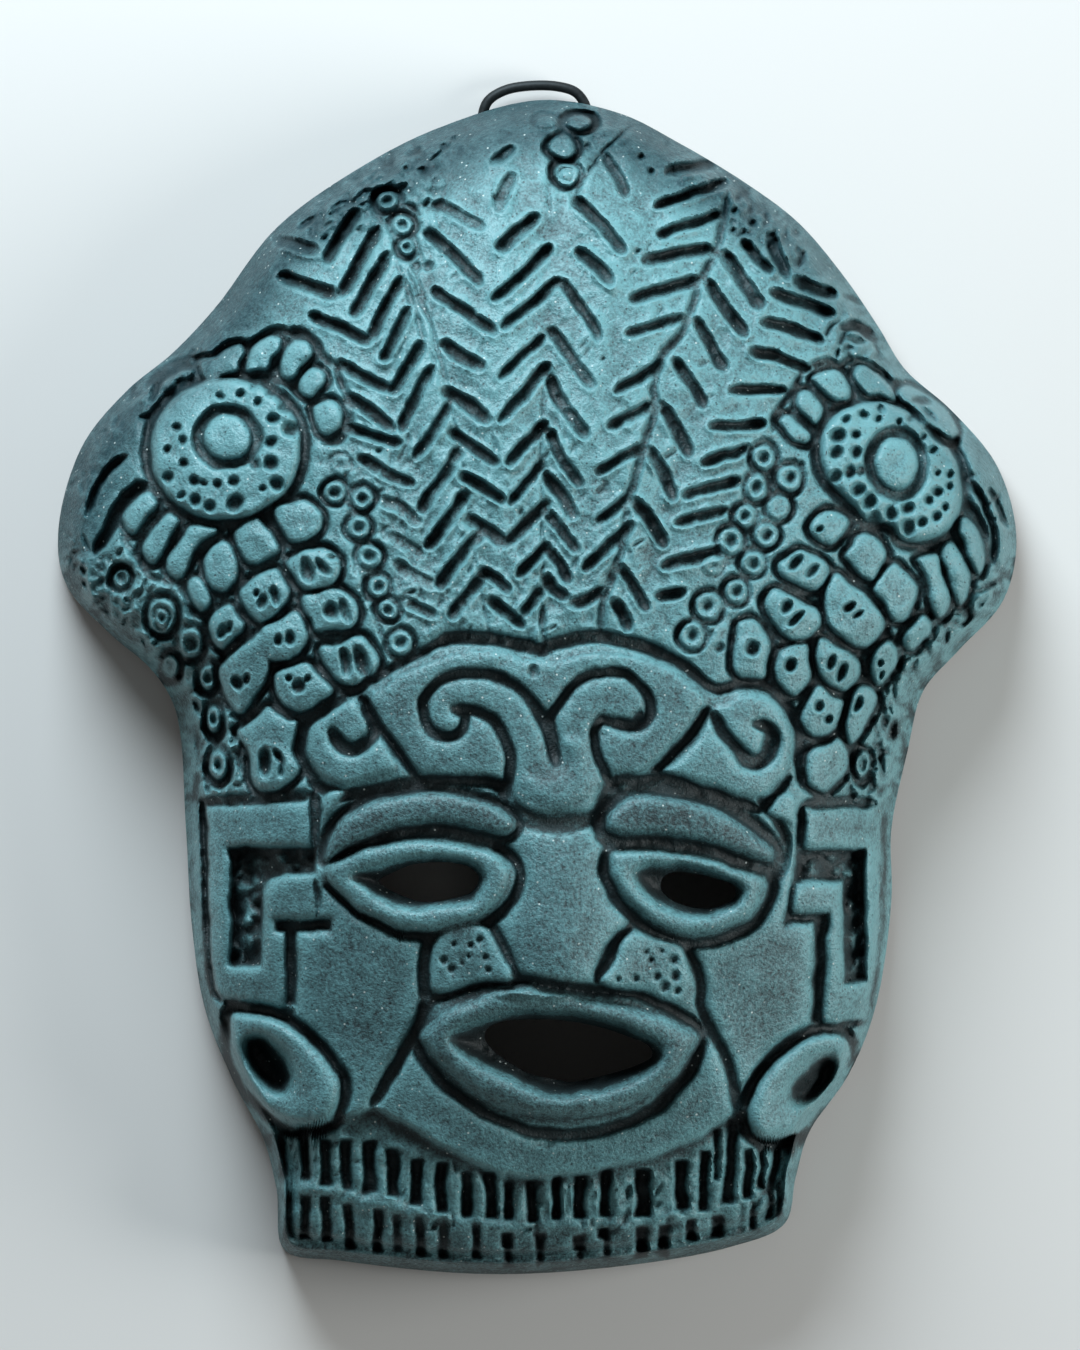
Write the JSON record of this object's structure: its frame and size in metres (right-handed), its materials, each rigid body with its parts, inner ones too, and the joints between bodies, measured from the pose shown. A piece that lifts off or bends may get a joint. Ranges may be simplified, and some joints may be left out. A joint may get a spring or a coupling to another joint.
{
  "type": "ceramic wall mask",
  "caption": "Carved black ceramic wall mask with a tall headdress, open eyes and mouth, a hollow back and a wire hanging loop.",
  "frame": {"origin": "centre of the outline, on the rim plane that the mask lies on", "axes": "+X to the right of the face as seen from the front, +Y to the top of the headdress, +Z out of the face"},
  "size_m": [0.18, 0.2243, 0.0513],
  "materials": {
    "black_clay": "burnished, with a satin sheen",
    "iron_wire": "black annealed iron wire"
  },
  "bodies": {
    "root": {"ceramic_mask": "black_clay", "hanging_wire": "iron_wire"}
  },
  "joints": []
}
